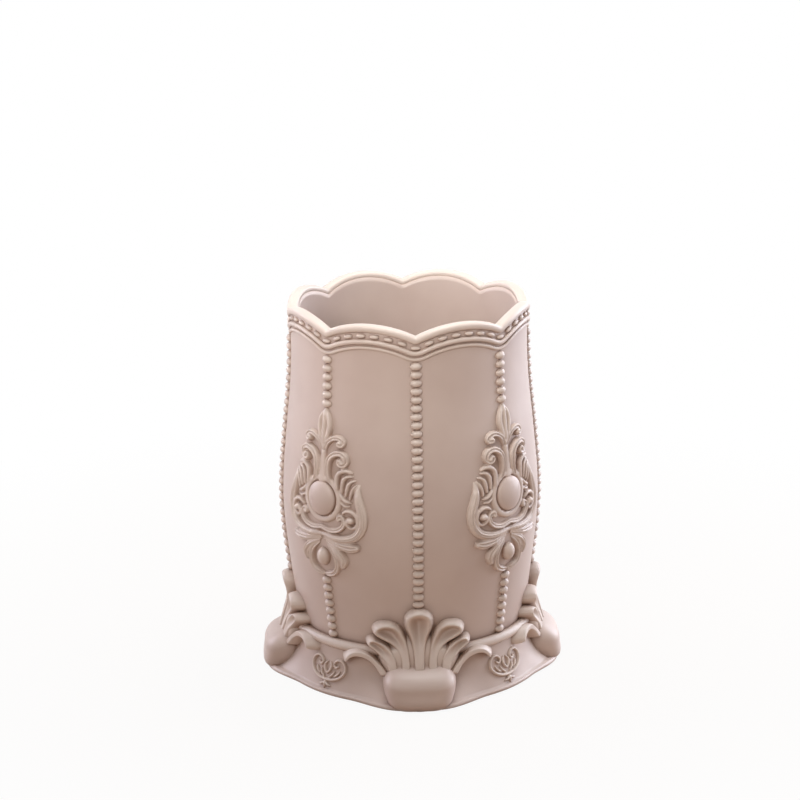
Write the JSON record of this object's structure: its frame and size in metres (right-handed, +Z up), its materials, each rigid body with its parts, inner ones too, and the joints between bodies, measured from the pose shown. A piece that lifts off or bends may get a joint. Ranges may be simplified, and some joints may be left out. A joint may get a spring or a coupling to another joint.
{
  "type": "makeup brush holder",
  "caption": "Footed brush pot in blush resin: bellied cup with a scalloped beaded rim, pearl strands and scroll cartouches, on a flared plinth with shells over block feet.",
  "frame": {"origin": "centre of the pot on the table, at the underside of the pads", "axes": "+Z up along the pot's axis; -Y is the front, where a shell and its foot face the viewer; +X is the viewer's right"},
  "size_m": [0.087, 0.087, 0.1099],
  "materials": {
    "blush_resin": "satin cast resin, pale blush beige, with a soft sheen on the raised ornament",
    "pad_rubber": "milky soft rubber"
  },
  "bodies": {
    "root": {"cabochon_back_left": "blush_resin", "cabochon_back_right": "blush_resin", "cabochon_front_left": "blush_resin", "cabochon_front_right": "blush_resin", "cartouche_back_left": "blush_resin", "cartouche_back_right": "blush_resin", "cartouche_front_left": "blush_resin", "cartouche_front_right": "blush_resin", "collar_cord": "blush_resin", "drop_pearl_back_left": "blush_resin", "drop_pearl_back_right": "blush_resin", "drop_pearl_front_left": "blush_resin", "drop_pearl_front_right": "blush_resin", "foot_back": "blush_resin", "foot_front": "blush_resin", "foot_left": "blush_resin", "foot_pads": "pad_rubber", "foot_right": "blush_resin", "lower_strand_back_left": "blush_resin", "lower_strand_back_right": "blush_resin", "lower_strand_front_left": "blush_resin", "lower_strand_front_right": "blush_resin", "plinth": "blush_resin", "rim_lower_cord": "blush_resin", "rim_pearls": "blush_resin", "rim_roll": "blush_resin", "rim_upper_cord": "blush_resin", "shell_back": "blush_resin", "shell_front": "blush_resin", "shell_left": "blush_resin", "shell_right": "blush_resin", "sprig_back_left": "blush_resin", "sprig_back_right": "blush_resin", "sprig_front_left": "blush_resin", "sprig_front_right": "blush_resin", "strand_back": "blush_resin", "strand_front": "blush_resin", "strand_left": "blush_resin", "strand_right": "blush_resin", "upper_strand_back_left": "blush_resin", "upper_strand_back_right": "blush_resin", "upper_strand_front_left": "blush_resin", "upper_strand_front_right": "blush_resin", "vase": "blush_resin"}
  },
  "joints": []
}
